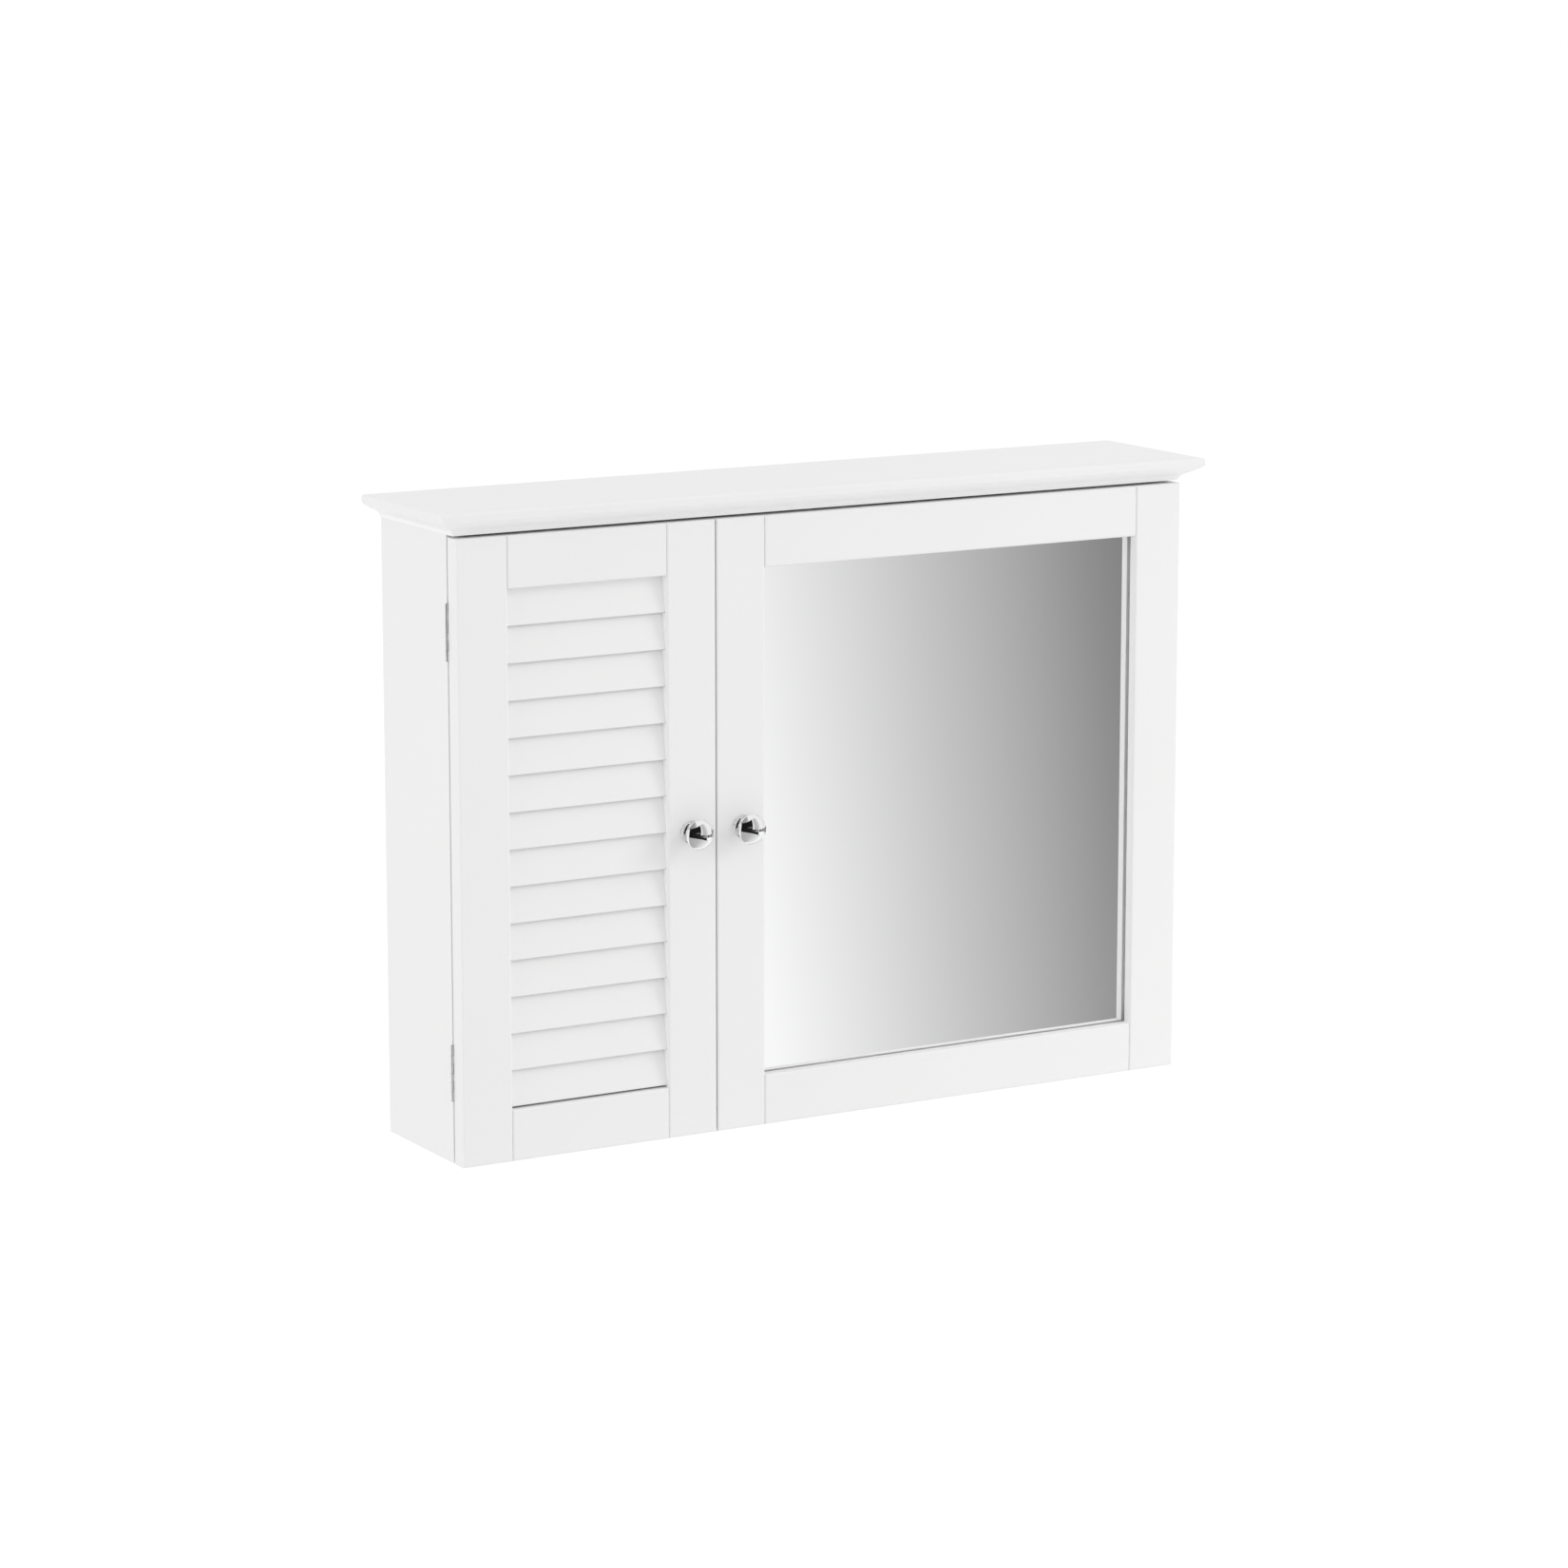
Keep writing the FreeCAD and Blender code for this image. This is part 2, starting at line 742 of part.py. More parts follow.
def knob(seat):
    """Mushroom knob: flared foot, waisted neck and rounded rim, which runs smoothly into a shallow dome."""
    rim_round = knob_rim / 2
    rim_inner = knob_cap_radius - rim_round
    rim_middle = knob_cap_height + rim_round

    def at(radius, height):
        return V(radius, 0, height)

    def hollow(edge_radius, edge_height):
        """Middle of the hollow that runs from the neck out to an edge."""
        return at(
            edge_radius + (knob_neck_radius - edge_radius) * EIGHTH_TURN,
            knob_neck_height + (edge_height - knob_neck_height) * EIGHTH_TURN,
        )

    foot = at(knob_base_radius, knob_base_edge)
    neck = at(knob_neck_radius, knob_neck_height)
    underside = at(rim_inner, knob_cap_height)
    rise = knob_projection - rim_middle
    ball = (rim_inner ** 2 + rise ** 2 - rim_round ** 2) / (2 * (rise - rim_round))
    tilt = math.asin(rim_inner / (ball - rim_round))

    def dome(angle):
        """Point of the dome at an angle from the knob's axis. The rim touches it at the tilt."""
        return at(ball * math.sin(angle), knob_projection - ball * (1 - math.cos(angle)))

    edges = [
        Part.makeLine(at(0, 0), at(knob_base_radius, 0)),
        Part.makeLine(at(knob_base_radius, 0), foot),
        Part.Arc(foot, hollow(knob_base_radius, knob_base_edge), neck).toShape(),
        Part.Arc(neck, hollow(rim_inner, knob_cap_height), underside).toShape(),
        Part.Arc(underside, at(knob_cap_radius, rim_middle), dome(tilt)).toShape(),
        Part.Arc(dome(tilt), dome(tilt / 2), dome(0)).toShape(),
        Part.makeLine(dome(0), at(0, 0)),
    ]
    body = Part.Face(Part.Wire(edges)).revolve(V(), UP, 360)
    socket = rod(knob_screw_radius + hole_clearance, V(), UP * knob_screw_bite)
    return stand(body.cut(socket), seat, OUTWARD)


def knob_screw(seat):
    """Round-headed screw from behind the door into the knob."""
    length = door_thickness + knob_screw_bite
    screw = turned(
        [
            (0, -knob_screw_head),
            (knob_screw_head_radius / 2, -knob_screw_head),
            (knob_screw_head_radius, -knob_screw_head / 2),
            (knob_screw_head_radius, 0),
            (knob_screw_radius, 0),
            (knob_screw_radius, length),
            (0, length),
        ],
        seat,
        OUTWARD,
    )
    return screw, rod(knob_screw_radius + knob_screw_slack, seat, seat + OUTWARD * door_thickness)


# Catches, strike plates and bumpers

def meeting_stile_middle(side):
    """X of the middle of a door's meeting stile."""
    _, meeting_edge, _, opening_meet = door_spans(side)
    return (meeting_edge + opening_meet) / 2


def catch(side):
    """Catch on the bottom panel: housing with two ears, its magnet, and its screws."""
    x = meeting_stile_middle(side)
    magnet_front = door_back + strike_thickness + catch_clearance
    face = magnet_front + magnet_proud
    half = catch_length / 2
    ear_reach = half + catch_ear
    body = block((x - half, x + half), (face, face + catch_depth), (bottom_top, bottom_top + catch_height))
    ear_top = bottom_top + catch_ear_thickness
    ears = block((x - ear_reach, x + ear_reach), (face, face + catch_depth), (bottom_top, ear_top))
    magnet = block(
        (x - half + catch_wall, x + half - catch_wall),
        (magnet_front, magnet_front + magnet_depth),
        (bottom_top + catch_wall, bottom_top + catch_height - catch_wall),
    )
    seat_y = face + catch_depth / 2
    screws = [plate_screw(V(x + s * (half + catch_ear / 2), seat_y, ear_top), DOWN) for s in (LEFT, RIGHT)]
    housing = drilled(body.fuse(ears).removeSplitter().cut(magnet), [hole for _, hole in screws])
    return housing, magnet, screws


def strike_plate(side):
    """Steel plate on the back of the meeting stile, facing the magnet, with its screw."""
    x = meeting_stile_middle(side)
    z = bottom_top + catch_height / 2
    rear = door_back + strike_thickness
    plate = block(
        (x - strike_length / 2, x + strike_length / 2),
        (door_back, rear),
        (z - strike_height / 2, z + strike_height / 2),
    )
    screw = plate_screw(V(x, rear, z), OUTWARD)
    return drilled(plate, [screw[1]]), screw


def bumpers(side):
    """Rubber dots on the back of the bottom rail, facing the bottom panel's edge."""
    _, _, opening_hinge, opening_meet = door_spans(side)
    height = door_gap - bumper_clearance
    dots = []
    for x in (opening_meet + side * bumper_inset, opening_hinge - side * bumper_inset):
        seat = V(x, door_back, floor_z + board / 2)
        dot = rod(bumper_radius, seat, seat + WALLWARD * height)
        dots.append(ease(dot, bumper_round, {"y": seat.y + height}))
    return dots


# Assembly: every wooden piece is drilled for the fasteners that reach it

def carcass_nodes(hinge_sets):
    """Nodes of the fixed carcass."""
    bolts, locks, dowels, nails, holes = carcass_fasteners()
    pins, pin_holes = shelf_pins()
    holes += pin_holes
    screws = []
    housings = []
    magnets = []
    for side in (LEFT, RIGHT):
        screws += hinge_sets[side]["frame_screws"]
        holes += hinge_sets[side]["frame_holes"]
        housing, magnet, catch_screws = catch(side)
        housings.append(housing)
        magnets.append(magnet)
        screws += [screw for screw, _ in catch_screws]
        holes += [hole for _, hole in catch_screws]
    return {
        "left_side_panel": [drilled(side_panel(LEFT), holes)],
        "right_side_panel": [drilled(side_panel(RIGHT), holes)],
        "cornice_top": [drilled(cornice_top(), holes)],
        "bottom_panel": [drilled(bottom_panel(), holes)],
        "back_panel": [drilled(back_panel(), holes)],
        "hanging_rail": [drilled(hanging_rail(), holes)],
        "lower_shelf": [shelf(lower_shelf_height)],
        "upper_shelf": [shelf(upper_shelf_height)],
        "shelf_pins": pins,
        "cam_locks": locks,
        "cam_bolts": bolts,
        "carcass_dowels": dowels,
        "back_panel_nails": nails,
        "catch_housings": housings,
        "catch_magnets": magnets,
        "carcass_plate_screws": screws,
        "left_hinge_frame_leaves": hinge_sets[LEFT]["frame_leaves"],
        "right_hinge_frame_leaves": hinge_sets[RIGHT]["frame_leaves"],
        "left_hinge_pins": hinge_sets[LEFT]["pins"],
        "right_hinge_pins": hinge_sets[RIGHT]["pins"],
    }


def door_nodes(side, hinge_set, cutters, extra_holes):
    """Nodes that both doors have: frame, dowels, knob, strike plate, hinge leaves, screws and bumpers."""
    name = "left" if side == LEFT else "right"
    _, meeting_edge, _, _ = door_spans(side)
    knob_x = meeting_edge + side * knob_inset
    dowels = door_dowels(side)
    plate, plate_fixing = strike_plate(side)
    fixing, fixing_hole = knob_screw(V(knob_x, door_back, door_middle))
    holes = [hole for _, hole in dowels] + hinge_set["door_holes"]
    holes += [plate_fixing[1], fixing_hole] + extra_holes
    nodes = {}
    for bar, solid in door_frame(side).items():
        nodes[f"{name}_door_{bar}"] = [drilled(drilled(solid, cutters), holes)]
    nodes[f"{name}_door_dowels"] = [peg for peg, _ in dowels]
    nodes[f"{name}_knob"] = [knob(V(knob_x, door_front, door_middle))]
    nodes[f"{name}_knob_screw"] = [fixing]
    nodes[f"{name}_strike_plate"] = [plate]
    nodes[f"{name}_hinge_door_leaves"] = hinge_set["door_leaves"]
    nodes[f"{name}_door_plate_screws"] = hinge_set["door_screws"] + [plate_fixing[0]]
    nodes[f"{name}_door_bumpers"] = bumpers(side)
    return nodes


def louvre_door_nodes(hinge_set):
    """Nodes of the left door: the frame and its slats."""
    _, _, opening_hinge, opening_meet = door_spans(LEFT)
    mortises = slat_mortises((opening_hinge - slat_tongue, opening_hinge))
    mortises += slat_mortises((opening_meet, opening_meet + slat_tongue))
    nodes = door_nodes(LEFT, hinge_set, [slat_hood()], [])
    for stile in ("left_door_hinge_stile", "left_door_meeting_stile"):
        nodes[stile] = [drilled(nodes[stile][0], mortises)]
    for index in range(slat_count):
        nodes[f"louvre_slat_{index + 1:02d}"] = [slat(index)]
    return nodes


def mirror_door_nodes(hinge_set):
    """Nodes of the right door: the frame, the silvered glass, its backing and the glazing points."""
    points = glazing_points()
    nodes = door_nodes(RIGHT, hinge_set, [mirror_recess()], [slit for _, slit in points])
    nodes["mirror_glass"] = [mirror_sheet(glass_front, silver_front)]
    nodes["mirror_silvering"] = [mirror_sheet(silver_front, backing_front)]
    nodes["mirror_backing"] = [mirror_sheet(backing_front, backing_back)]
    nodes["glazing_points"] = [point for point, _ in points]
    return nodes


def main():
    """Builds every node and writes one file for each."""
    os.makedirs("parts", exist_ok=True)
    hinge_sets = {side: hinges(side) for side in (LEFT, RIGHT)}
    nodes = carcass_nodes(hinge_sets)
    nodes.update(louvre_door_nodes(hinge_sets[LEFT]))
    nodes.update(mirror_door_nodes(hinge_sets[RIGHT]))
    for name, solids in nodes.items():
        shape = solids[0] if len(solids) == 1 else Part.makeCompound(solids)
        shape.exportStep(f"parts/{name}.step")
    print(f"{len(nodes)} nodes written")


main()
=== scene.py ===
"""Mirrored wall cabinet: satin white paint, louvre slats, silvered glass and polished knobs."""
import json
import math

import bpy
import numpy as np
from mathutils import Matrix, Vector


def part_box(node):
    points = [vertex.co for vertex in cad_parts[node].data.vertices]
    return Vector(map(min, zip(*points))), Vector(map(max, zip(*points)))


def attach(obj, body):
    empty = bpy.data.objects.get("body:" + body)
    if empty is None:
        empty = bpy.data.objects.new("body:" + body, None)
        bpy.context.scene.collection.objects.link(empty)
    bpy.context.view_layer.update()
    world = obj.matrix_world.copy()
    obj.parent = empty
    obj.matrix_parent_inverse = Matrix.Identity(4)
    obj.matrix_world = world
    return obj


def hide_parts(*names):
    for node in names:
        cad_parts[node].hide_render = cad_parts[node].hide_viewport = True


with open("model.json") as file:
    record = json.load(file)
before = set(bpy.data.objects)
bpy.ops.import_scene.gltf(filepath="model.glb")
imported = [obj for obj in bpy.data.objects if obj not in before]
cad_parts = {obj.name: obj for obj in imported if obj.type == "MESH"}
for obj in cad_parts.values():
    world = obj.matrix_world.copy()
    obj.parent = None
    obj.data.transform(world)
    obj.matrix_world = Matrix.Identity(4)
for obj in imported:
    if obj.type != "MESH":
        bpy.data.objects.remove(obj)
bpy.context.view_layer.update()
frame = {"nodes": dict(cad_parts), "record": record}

# Camera: focal length in photo pixels, sensor in millimetres, place and range in metres, angles in degrees.
# A camera that isn't turned looks straight down, and a level one is tipped up from there
PHOTO_SIDE = 1650.0
FOCAL_PIXELS = 5300.2
SENSOR = 36.0
CAMERA_PLACE = (-1.95741, -3.42308, 0.54752)
CAMERA_RANGE = 200.0
CAMERA_TURN = 30.14
CAMERA_DIP = 10.83
LEVEL_TIP = 90.0

# Painted light, whiter paint on recessed walls, in metres: room round its box, depth at which it starts in a
# door's opening, and height of the cornice's upright band, below which it starts there
SLACK = 0.0004
WALL_START = 0.0014
CORNICE_BAND = 0.006

# Back board and mirror, in metres: depth of the bare fibres, ground edge of the glass, gap before the silver
BARE_DEPTH = 0.0006
GLASS_ARRIS = 0.0004
FILM_GAP = 0.00004

# Stage, in metres
FLOOR_Z = -1.7
FLOOR_REACH = 60.0
CARD_CENTRE = (-0.10, -0.15, -0.21)
MIRROR_REACH = 2.0
PALE_REACH = 1.45
DARK_REACH = 1.4
DIM_REACH = 1.35

# Grid of a card, strength of the white surroundings as a light, and glow that lifts the floor to white
CARD_COLUMNS = 25
CARD_ROWS = 13
AIR_LIGHT = 0.88
FLOOR_LIFT = 0.25

# A ray's counts are whole numbers, so this parts none from some
SOME = 0.5

# Sockets of a Mix node that blends colours
MIX_SHARE, MIX_FIRST, MIX_SECOND, MIX_RESULT = 0, 6, 7, 2

# Scale of a pattern along the three axes where it isn't stretched
EVEN = (1.0, 1.0, 1.0)


class Value:
    """One output of a node. Arithmetic on it adds Math nodes to the same tree."""

    def __init__(self, bench, socket):
        self.bench = bench
        self.socket = socket

    def _math(self, operation, first, second):
        return self.bench.node("ShaderNodeMath", {"operation": operation}, {0: first, 1: second})

    def __add__(self, other):
        return self._math("ADD", self, other)

    def __radd__(self, other):
        return self._math("ADD", other, self)

    def __mul__(self, other):
        return self._math("MULTIPLY", self, other)

    def __rmul__(self, other):
        return self._math("MULTIPLY", other, self)

    def __gt__(self, other):
        return self._math("GREATER_THAN", self, other)

    def __lt__(self, other):
        return self._math("LESS_THAN", self, other)

    def held(self):
        """The same value, kept between 0 and 1."""
        return self.bench.node("ShaderNodeClamp", {}, {"Value": self})


class Bench:
    """Node tree of one finish or of the surroundings."""

    def __init__(self, tree):
        self.tree = tree
        tree.nodes.clear()

    def node(self, kind, settings=None, inputs=None, output=0):
        """Adds a node, sets its settings, fills or links its inputs, and gives one of its outputs."""
        made = self.tree.nodes.new(kind)
        for name, setting in (settings or {}).items():
            if name == "stops":
                ramp = made.color_ramp.elements
                while len(ramp) < len(setting):
                    ramp.new(1.0)
                for stop, (at, colour) in zip(ramp, setting):
                    stop.position = at
                    stop.color = (*colour, 1.0)
            else:
                setattr(made, name, setting)
        for name, value in (inputs or {}).items():
            if isinstance(value, Value):
                self.tree.links.new(value.socket, made.inputs[name])
            else:
                made.inputs[name].default_value = value
        return Value(self, made.outputs[output]) if len(made.outputs) else None

    def between(self, share, first, second):
        """Colour a share of the way from one colour to another, each an RGB triple or an output."""
        start, end = (colour if isinstance(colour, Value) else (*colour, 1.0) for colour in (first, second))
        inputs = {MIX_SHARE: share, MIX_FIRST: start, MIX_SECOND: end}
        return self.node("ShaderNodeMix", {"data_type": "RGBA"}, inputs, MIX_RESULT)

    def place(self, stretch=EVEN):
        """Object coordinates, stretched along the axes."""
        here = self.node("ShaderNodeTexCoord", output="Object")
        return self.node("ShaderNodeMapping", {}, {"Vector": here, "Scale": stretch})

    def along(self, axis):
        """One Object coordinate, in metres."""
        return self.node("ShaderNodeSeparateXYZ", {}, {"Vector": self.place()}, axis)

    def grains(self, scale, detail=2.0, stretch=EVEN):
        """Soft noise between 0 and 1, its scale in features per metre."""
        inputs = {"Vector": self.place(stretch), "Scale": scale, "Detail": detail}
        return self.node("ShaderNodeTexNoise", {}, inputs)

    def cells(self, scale, stretch=EVEN):
        """Distance from the middle of scattered cells, their scale in cells per metre."""
        return self.node("ShaderNodeTexVoronoi", {}, {"Vector": self.place(stretch), "Scale": scale})

    def relief(self, height, depth):
        """Normal of a surface that stands up by a height between 0 and 1 times a depth in metres."""
        return self.node("ShaderNodeBump", {}, {"Height": height, "Distance": depth})


def bare_finish(name):
    """New material, and the bench of its emptied node tree."""
    material = bpy.data.materials.new(name)
    material.use_nodes = True
    return material, Bench(material.node_tree)


def surface(name, fixed, dressed):
    """Material with a Principled shader: fixed values on its sockets, and what dressed(bench) links."""
    material, bench = bare_finish(name)
    shader = bench.node("ShaderNodeBsdfPrincipled", {}, {**fixed, **dressed(bench)})
    bench.node("ShaderNodeOutputMaterial", {}, {"Surface": shader})
    return material


def satin_paint(name="satin_white_paint", painted_light_box=None):
    """Sprayed white paint on fibreboard: faint clouds in its tone, a fine orange peel and a satin sheen.

    The box argument gives the low and high corners of a box, inside which the paint is painted whiter as
    painted light, lifting recessed walls that would render in shade.
    """

    def dressed(b):
        clouds = b.grains(7.0, detail=3.0)
        peel = b.grains(620.0, detail=1.5)
        dust = b.cells(260.0) < 0.05
        tone = b.between(clouds, (0.845, 0.845, 0.843), (0.870, 0.870, 0.868))
        if painted_light_box is not None:
            in_painted_light = 1.0
            for axis, low, high in zip("XYZ", *painted_light_box):
                here = b.along(axis)
                in_painted_light = in_painted_light * (here > low) * (here < high)
            # Painted light: a whiter tone inside the box stands in for light on recessed walls
            tone = b.between(in_painted_light, tone, (0.935, 0.935, 0.933))
        return {
            "Base Color": b.between(dust * 0.25, tone, (0.80, 0.80, 0.79)),
            "Roughness": 0.36 + clouds * 0.10 + peel * 0.06,
            "Normal": b.relief(peel, depth=0.00003),
        }

    return surface(name, {"Specular IOR Level": 0.25}, dressed)


def door_paint(side):
    """The same paint on the frame of the left or the right door, painted whiter on the walls of its opening
    as painted light.
    """
    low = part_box(f"{side}_door_bottom_rail")
    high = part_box(f"{side}_door_top_rail")
    # Box of the opening's walls, where the paint is painted whiter as painted light
    painted_light_walls = (
        (low[0][0] - SLACK, low[0][1] + WALL_START, low[1][2] - SLACK),
        (high[1][0] + SLACK, high[1][1] + SLACK, high[0][2] + SLACK),
    )
    return satin_paint(f"{side}_door_paint", painted_light_walls)


def cornice_paint():
    """The same paint on the cornice, painted whiter on the moulding under its upright band as painted light.
    """
    low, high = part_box("cornice_top")
    # Box of the moulding under the band, where the paint is painted whiter as painted light
    painted_light_moulding = ([end - SLACK for end in low], (high[0] + SLACK, high[1] + SLACK, high[2] - CORNICE_BAND))
    return satin_paint("cornice_paint", painted_light_moulding)


def faced_hardboard():
    """Back board: a smooth white face inside, bare brown fibres on the side towards the wall."""

    def dressed(b):
        wallward = b.along("Y") > -BARE_DEPTH
        fibres = b.grains(420.0, detail=4.0, stretch=(1.0, 1.0, 0.45))
        mesh = b.grains(900.0, detail=1.0)
        brown = b.between(fibres, (0.20, 0.115, 0.055), (0.36, 0.225, 0.125))
        white = b.between(b.grains(9.0), (0.82, 0.82, 0.81), (0.86, 0.86, 0.855))
        return {
            "Base Color": b.between(wallward, white, brown),
            "Roughness": 0.38 + wallward * 0.34 + fibres * 0.1,
            "Normal": b.relief(mesh * wallward + fibres * 0.2, depth=0.00012),
        }

    return surface("white_faced_hardboard", {}, dressed)


def bare_hardboard():
    """Brown pressed fibres with darker flecks, behind the mirror."""

    def dressed(b):
        fibres = b.grains(380.0, detail=5.0, stretch=(0.5, 1.0, 1.0))
        flecks = b.cells(540.0) < 0.12
        tone = b.between(fibres, (0.19, 0.108, 0.052), (0.37, 0.23, 0.125))
        return {
            "Base Color": b.between(flecks * 0.5, tone, (0.12, 0.065, 0.03)),
            "Roughness": 0.62 + fibres * 0.2,
            "Normal": b.relief(fibres, depth=0.00015),
        }

    return surface("bare_hardboard", {}, dressed)


def beech():
    """Bare dowel wood: long fine streaks with short dark rays."""

    def dressed(b):
        streaks = b.grains(300.0, detail=4.0, stretch=(0.08, 1.0, 1.0))
        rays = b.cells(420.0, stretch=(0.25, 1.0, 1.0)) < 0.1
        tone = b.between(streaks, (0.50, 0.31, 0.165), (0.68, 0.475, 0.285))
        return {
            "Base Color": b.between(rays * 0.4, tone, (0.36, 0.2, 0.1)),
            "Roughness": 0.55 + streaks * 0.2,
            "Normal": b.relief(streaks, depth=0.0001),
        }

    return surface("bare_beech", {}, dressed)


def polished_chrome():
    """Bright plating: nearly clean, with a breath of haze that changes over the knob."""

    def dressed(b):
        haze = b.grains(160.0, detail=3.0)
        return {
            "Base Color": b.between(haze, (0.80, 0.80, 0.81), (0.86, 0.86, 0.865)),
            "Roughness": 0.02 + haze * 0.035,
        }

    return surface("polished_chrome", {"Metallic": 1.0}, dressed)


def plated_steel():
    """Pressed steel of hinges, screws and pins: drawn lines under bright plating."""

    def dressed(b):
        lines = b.grains(2600.0, stretch=(1.0, 1.0, 0.03))
        stains = b.grains(90.0, detail=3.0)
        return {
            "Base Color": b.between(stains, (0.74, 0.74, 0.745), (0.88, 0.88, 0.885)),
            "Roughness": 0.24 + lines * 0.12 + stains * 0.08,
            "Normal": b.relief(lines, depth=0.000006),
        }

    return surface("plated_steel", {"Metallic": 1.0}, dressed)


def cast_zinc():
    """Die-cast fittings: dull grey with a crystal mottle."""

    def dressed(b):
        mottle = b.cells(520.0)
        return {
            "Base Color": b.between(mottle, (0.52, 0.52, 0.53), (0.68, 0.68, 0.685)),
            "Roughness": 0.38 + mottle * 0.2,
            "Normal": b.relief(b.grains(1500.0), depth=0.00001),
        }

    return surface("cast_zinc", {"Metallic": 1.0}, dressed)


def moulded_plastic():
    """White catch housings with a fine spark-eroded grain."""

    def dressed(b):
        grain = b.grains(1800.0)
        tone = b.grains(40.0)
        return {
            "Base Color": b.between(tone, (0.80, 0.80, 0.79), (0.85, 0.85, 0.84)),
            "Roughness": 0.42 + grain * 0.15,
            "Normal": b.relief(grain, depth=0.00002),
        }

    return surface("moulded_white_plastic", {}, dressed)


def ferrite():
    """Sintered magnet: dark grey with lighter grains."""

    def dressed(b):
        grain = b.cells(1400.0)
        return {
            "Base Color": b.between(grain, (0.05, 0.05, 0.053), (0.13, 0.13, 0.135)),
            "Roughness": 0.5 + grain * 0.25,
            "Normal": b.relief(grain, depth=0.00002),
        }

    return surface("sintered_ferrite", {"Metallic": 0.3}, dressed)


def clear_rubber():
    """Soft bumper dots, milky and slightly glossy."""

    def dressed(b):
        milk = b.grains(500.0)
        return {
            "Base Color": b.between(milk, (0.60, 0.60, 0.58), (0.72, 0.72, 0.70)),
            "Roughness": 0.32 + milk * 0.12,
        }

    return surface("milky_rubber", {"Transmission Weight": 0.35, "IOR": 1.45}, dressed)


def float_glass():
    """Clear pane with a trace of green."""

    def dressed(b):
        drift = b.grains(5.0)
        return {
            "Base Color": b.between(drift, (0.984, 0.992, 0.987), (0.988, 0.995, 0.990)),
            "Roughness": drift * 0.004,
        }

    fixed = {"Transmission Weight": 1.0, "IOR": 1.51, "Specular Tint": (0.0, 0.0, 0.0, 1.0)}
    return surface("float_glass", fixed, dressed)


def silvering():
    """Silver film behind the glass."""

    def dressed(b):
        drift = b.grains(6.0)
        return {
            "Base Color": b.between(drift, (0.945, 0.947, 0.945), (0.955, 0.957, 0.955)),
            "Roughness": 0.002 + drift * 0.004,
        }

    return surface("silver_film", {"Metallic": 1.0}, dressed)


FINISHES = {
    "white_paint": satin_paint,
    "white_board": faced_hardboard,
    "brown_board": bare_hardboard,
    "beech": beech,
    "chrome": polished_chrome,
    "bright_steel": plated_steel,
    "zinc": cast_zinc,
    "white_plastic": moulded_plastic,
    "magnet": ferrite,
    "rubber": clear_rubber,
    "glass": float_glass,
    "mirror": silvering,
}


def dress_nodes():
    """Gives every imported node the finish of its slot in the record, or its own where it has one."""
    made = {slot: make() for slot, make in FINISHES.items()}
    own = {"cornice_top": cornice_paint()}
    for side in ("left", "right"):
        paint = door_paint(side)
        for bar in ("hinge_stile", "meeting_stile", "top_rail", "bottom_rail"):
            own[f"{side}_door_{bar}"] = paint
    for subpart in frame["record"]["subparts"]:
        name = subpart["node"]
        finish = own.get(name, made[subpart["material_slot"]])
        node = frame["nodes"][name]
        node.data.materials.clear()
        node.data.materials.append(finish)
    return made


def placed(name, data):
    """New object in the scene, at the origin."""
    thing = bpy.data.objects.new(name, data)
    bpy.context.scene.collection.objects.link(thing)
    return thing


def mesh_piece(name, points, faces, finish):
    """Mesh object from an array of points, of any shape by 3, and rows of four corners."""
    mesh = bpy.data.meshes.new(name)
    mesh.from_pydata(points.reshape(-1, 3).tolist(), [], faces.tolist())
    mesh.materials.append(finish)
    return placed(name, mesh)


def grid_piece(name, points, uv, finish):
    """Mesh object from a grid of points, rows by columns by 3, with a UV map from a grid of pairs."""
    rows, columns = points.shape[:2]
    first = (np.arange(rows - 1)[:, None] * columns + np.arange(columns - 1)).ravel()
    faces = np.stack([first, first + 1, first + columns + 1, first + columns], 1)
    piece = mesh_piece(name, points, faces, finish)
    layer = piece.data.uv_layers.new(name="UVMap")
    layer.data.foreach_set("uv", uv.reshape(-1, 2)[faces.ravel()].ravel().astype(np.float32))
    return piece


def shares(columns, rows):
    """Grid of (u, v) pairs from 0 to 1."""
    return np.stack(np.meshgrid(np.linspace(0, 1, columns), np.linspace(0, 1, rows)), 2)


def mirror_pane(glass):
    """Glass pane with ground edges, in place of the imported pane.

    Its section is a rectangle with its corners cut off by the arris, carried once round the pane's outline:
    ring k is the outline pulled in by inset(k) at depth(k), closed by one face in front and one behind.
    """
    low, high = (np.array(corner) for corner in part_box("mirror_glass"))
    back = high[1] - FILM_GAP
    inset = np.array([GLASS_ARRIS, 0.0, 0.0, GLASS_ARRIS])
    depth = np.array([low[1], low[1] + GLASS_ARRIS, back - GLASS_ARRIS, back])
    corners = np.array([[0, 0], [1, 0], [1, 1], [0, 1]])
    outline = low[[0, 2]] + corners * (high - low)[[0, 2]]
    inward = 1 - 2 * corners
    flat = outline[None] + inset[:, None, None] * inward[None]
    rings = np.stack([flat[..., 0], np.repeat(depth[:, None], len(corners), 1), flat[..., 1]], 2)
    index = np.arange(flat[..., 0].size).reshape(flat.shape[:2])
    turn = np.roll(index, -1, axis=1)
    painted_light_walls = np.stack([index[:-1], index[1:], turn[1:], turn[:-1]], 2).reshape(-1, 4)
    pane = mesh_piece("mirror_pane", rings, np.concatenate([painted_light_walls, index[:1], index[-1:, ::-1]]), glass)
    pane.visible_diffuse = False
    pane.visible_glossy = False
    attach(pane, "right_door")
    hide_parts("mirror_glass")


def shown(b):
    """1 for rays that show the surroundings: from the camera, off metal or through glass. 0 for others."""
    kinds = ("Is Camera Ray", "Is Glossy Ray", "Is Transmission Ray")
    seen, mirrored, through = (b.node("ShaderNodeLightPath", output=kind) for kind in kinds)
    return (seen + mirrored + through).held()


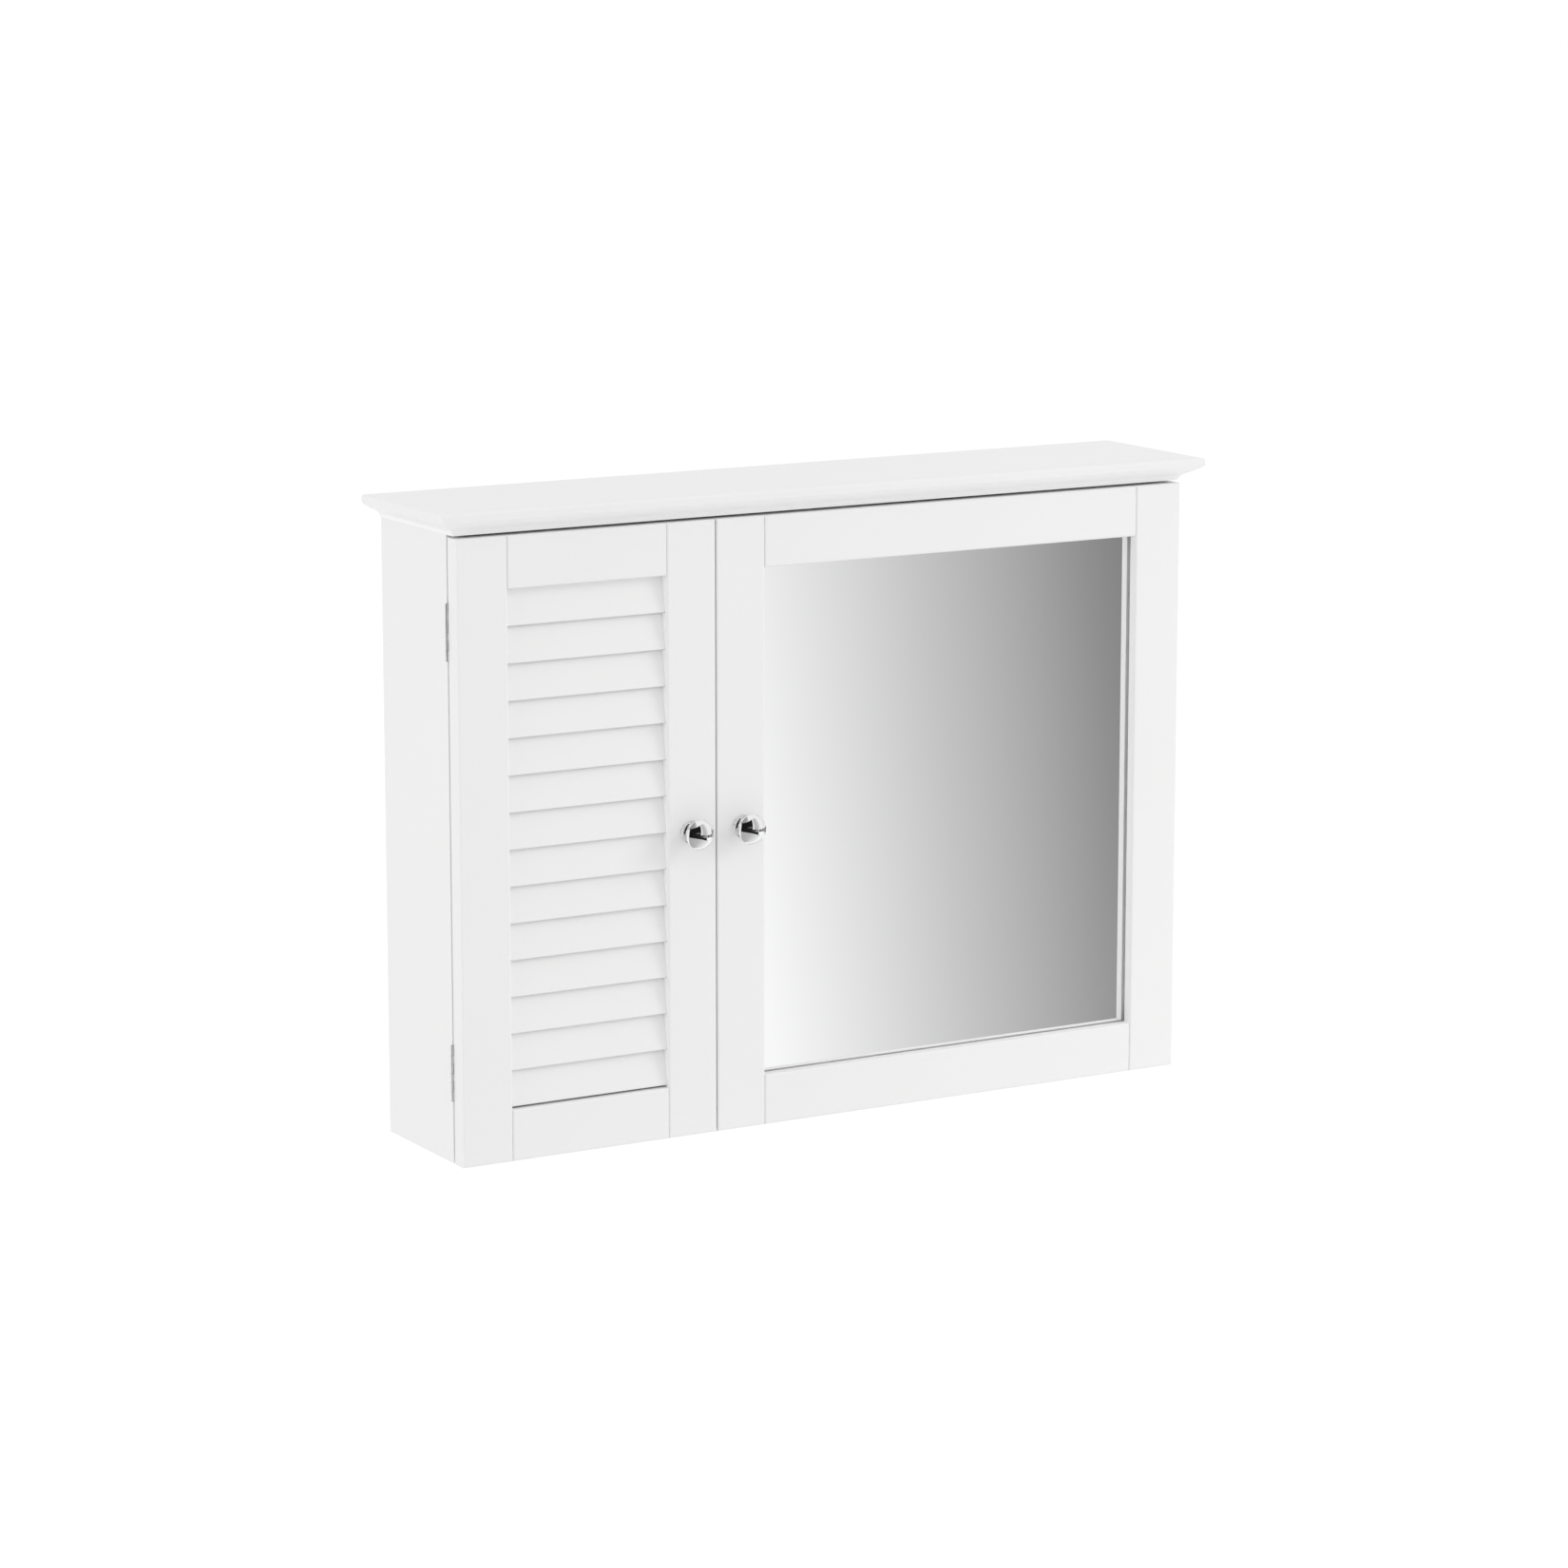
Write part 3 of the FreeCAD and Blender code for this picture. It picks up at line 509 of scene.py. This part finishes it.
def stage_floor():
    """Pale floor well under the cabinet. Seen by the camera it is lifted to white, and keeps its shadows."""
    material, b = bare_finish("pale_floor")
    tone = b.between(b.grains(3.0), (0.86, 0.86, 0.86), (0.88, 0.88, 0.88))
    matt = b.node("ShaderNodeBsdfDiffuse", {}, {"Color": tone})
    lift = b.node("ShaderNodeEmission", {}, {"Strength": shown(b) * FLOOR_LIFT})
    both = b.node("ShaderNodeAddShader", {}, {0: matt, 1: lift})
    b.node("ShaderNodeOutputMaterial", {}, {"Surface": both})
    share = shares(2, 2)
    points = np.concatenate([(share * 2 - 1) * FLOOR_REACH, np.full((2, 2, 1), FLOOR_Z)], 2)
    floor = grid_piece("floor", points, share, material)


def card_finish(name, stops, tilt, through_glass):
    """Glowing greys along u, tilted along v. Only rays that passed the glass see them, or only others."""
    material, b = bare_finish(name)
    here = b.node("ShaderNodeTexCoord", output="UV")
    across = b.node("ShaderNodeSeparateXYZ", {}, {"Vector": here}, "X")
    up = b.node("ShaderNodeSeparateXYZ", {}, {"Vector": here}, "Y")
    greys = [(at, (grey, grey, grey)) for at, grey in stops]
    grey = b.node("ShaderNodeValToRGB", {"stops": greys}, {"Fac": (across + up * tilt).held()})
    glow = b.node("ShaderNodeEmission", {}, {"Color": grey})
    panes = b.node("ShaderNodeLightPath", output="Transmission Depth")
    scatters = b.node("ShaderNodeLightPath", output="Diffuse Depth")
    seen = (panes > SOME if through_glass else panes < SOME) * (scatters < SOME)
    clear = b.node("ShaderNodeBsdfTransparent")
    both = b.node("ShaderNodeMixShader", {}, {0: seen, 1: clear, 2: glow})
    b.node("ShaderNodeOutputMaterial", {}, {"Surface": both})
    return material


def studio_card(name, corners, stops, reach=PALE_REACH, tilt=0.0, through_glass=False):
    """Card on a ball round the knobs, which shows only in bare metal, or only in the mirror behind its glass.

    corners are (azimuth, elevation) in degrees, lower left, lower right, upper left and upper right, and the
    card's point at (u, v) is the ball's point at the blend of the four. stops are its greys along u.
    """
    share = shares(CARD_COLUMNS, CARD_ROWS)
    u, v = share[..., :1], share[..., 1:]
    low_left, low_right, high_left, high_right = (np.radians(corner) for corner in corners)
    angle = (low_left * (1 - u) + low_right * u) * (1 - v) + (high_left * (1 - u) + high_right * u) * v
    azimuth, elevation = angle[..., 0], angle[..., 1]
    level = np.cos(elevation)
    ray = np.stack([np.sin(azimuth) * level, -np.cos(azimuth) * level, np.sin(elevation)], 2)
    finish = card_finish(name, stops, tilt, through_glass)
    card = grid_piece(name, np.array(CARD_CENTRE) + reach * ray, share, finish)
    card.visible_camera = False
    card.visible_diffuse = False
    card.visible_shadow = False
    card.visible_transmission = False


def studio_cards():
    """A flat that fades from white to grey, which the mirror shows, and pale and dark ones for the knobs."""
    studio_card(
        "fading_card",
        corners=((28, -30), (88, -32), (28, 0), (88, -4)),
        stops=[(0.0, 1.0), (0.092, 1.0), (0.212, 0.585), (0.309, 0.29), (0.347, 0.2)],
        reach=MIRROR_REACH,
        tilt=0.074,
        through_glass=True,
    )
    studio_card(
        "low_pale_card",
        corners=((-75, -85), (75, -85), (-62, -9), (75, -29)),
        stops=[(0.0, 0.48), (0.3, 0.55), (0.55, 0.73), (0.8, 0.92), (1.0, 1.0)],
        tilt=-0.15,
    )
    studio_card(
        "right_pale_card",
        corners=((6, -8), (58, -16), (17, 52), (60, 50)),
        stops=[(0.0, 1.0), (0.1, 0.95), (0.28, 0.54), (0.6, 0.6), (0.85, 0.8), (1.0, 1.0)],
    )
    studio_card(
        "high_pale_card",
        corners=((-66, 26), (-12, 46), (-58, 72), (-12, 76)),
        stops=[(0.0, 0.33), (0.5, 0.36), (1.0, 0.6)],
    )
    dark = [(0.0, 0.01), (1.0, 0.015)]
    studio_card("dark_card", ((-61, -14), (6, -6), (-60, 33), (18, 52)), dark, DARK_REACH)
    studio_card("low_dark_card", ((-61, -14), (53, -33), (-61, 0), (50, -19)), dark, DARK_REACH)
    studio_card(
        "low_dim_card",
        corners=((-40, -15), (48, -21), (-40, 3), (48, -8)),
        stops=[(0.0, 0.015), (0.4, 0.02), (0.6, 0.05), (0.78, 0.1), (0.86, 0.28), (1.0, 0.3)],
        reach=DIM_REACH,
    )
    studio_card(
        "dent_card",
        corners=((-24, 5), (2, 3), (-22, 12), (4, 13)),
        stops=[(0.0, 0.04), (0.4, 0.11), (1.0, 0.13)],
        reach=DIM_REACH,
    )
    studio_card(
        "far_dark_card",
        corners=((51, -19), (93, -17), (54, -8), (92, -8)),
        stops=[(0.0, 0.05), (0.25, 0.06), (0.34, 0.38), (0.68, 0.42), (0.75, 0.12), (0.92, 0.12), (1.0, 0.6)],
        reach=DARK_REACH,
    )


def soft_box(name, place, aim, side, power):
    """Square lamp at a place, turned to a point, with its side in metres and its power in watts."""
    lamp = bpy.data.lights.new(name, "AREA")
    lamp.shape = "SQUARE"
    lamp.size = side
    lamp.energy = power
    holder = placed(name, lamp)
    holder.location = place
    holder.rotation_euler = (Vector(aim) - Vector(place)).to_track_quat("-Z", "Y").to_euler()
    holder.visible_camera = False
    holder.visible_glossy = False


def studio_light():
    """Even white surroundings and soft boxes from the right, the left and low in front."""
    world = bpy.data.worlds.new("studio")
    bpy.context.scene.world = world
    world.use_nodes = True
    b = Bench(world.node_tree)
    strength = AIR_LIGHT + shown(b) * (1.0 - AIR_LIGHT)
    air = b.node("ShaderNodeBackground", {}, {"Color": (1.0, 1.0, 1.0, 1.0), "Strength": strength})
    b.node("ShaderNodeOutputWorld", {}, {"Surface": air})
    soft_box("right_box", place=(2.9, -2.1, 1.4), aim=(0.0, -0.12, -0.2), side=1.6, power=31.0)
    soft_box("left_box", place=(-3.0, -0.3, 0.3), aim=(-0.3, -0.06, -0.2), side=1.6, power=12.4)
    soft_box("low_box", place=(0.9, -0.7, -0.75), aim=(0.1, -0.12, -0.3), side=0.5, power=0.8)


def camera():
    """Camera at the photograph's viewing angle."""
    lens = bpy.data.cameras.new("camera")
    lens.sensor_width = SENSOR
    lens.lens = FOCAL_PIXELS / PHOTO_SIDE * SENSOR
    lens.clip_end = CAMERA_RANGE
    holder = placed("camera", lens)
    holder.location = CAMERA_PLACE
    holder.rotation_euler = (math.radians(LEVEL_TIP - CAMERA_DIP), 0.0, math.radians(-CAMERA_TURN))
    bpy.context.scene.camera = holder


finishes = dress_nodes()
mirror_pane(finishes["glass"])
stage_floor()
studio_cards()
studio_light()
camera()
bpy.context.scene.view_settings.view_transform = "Standard"
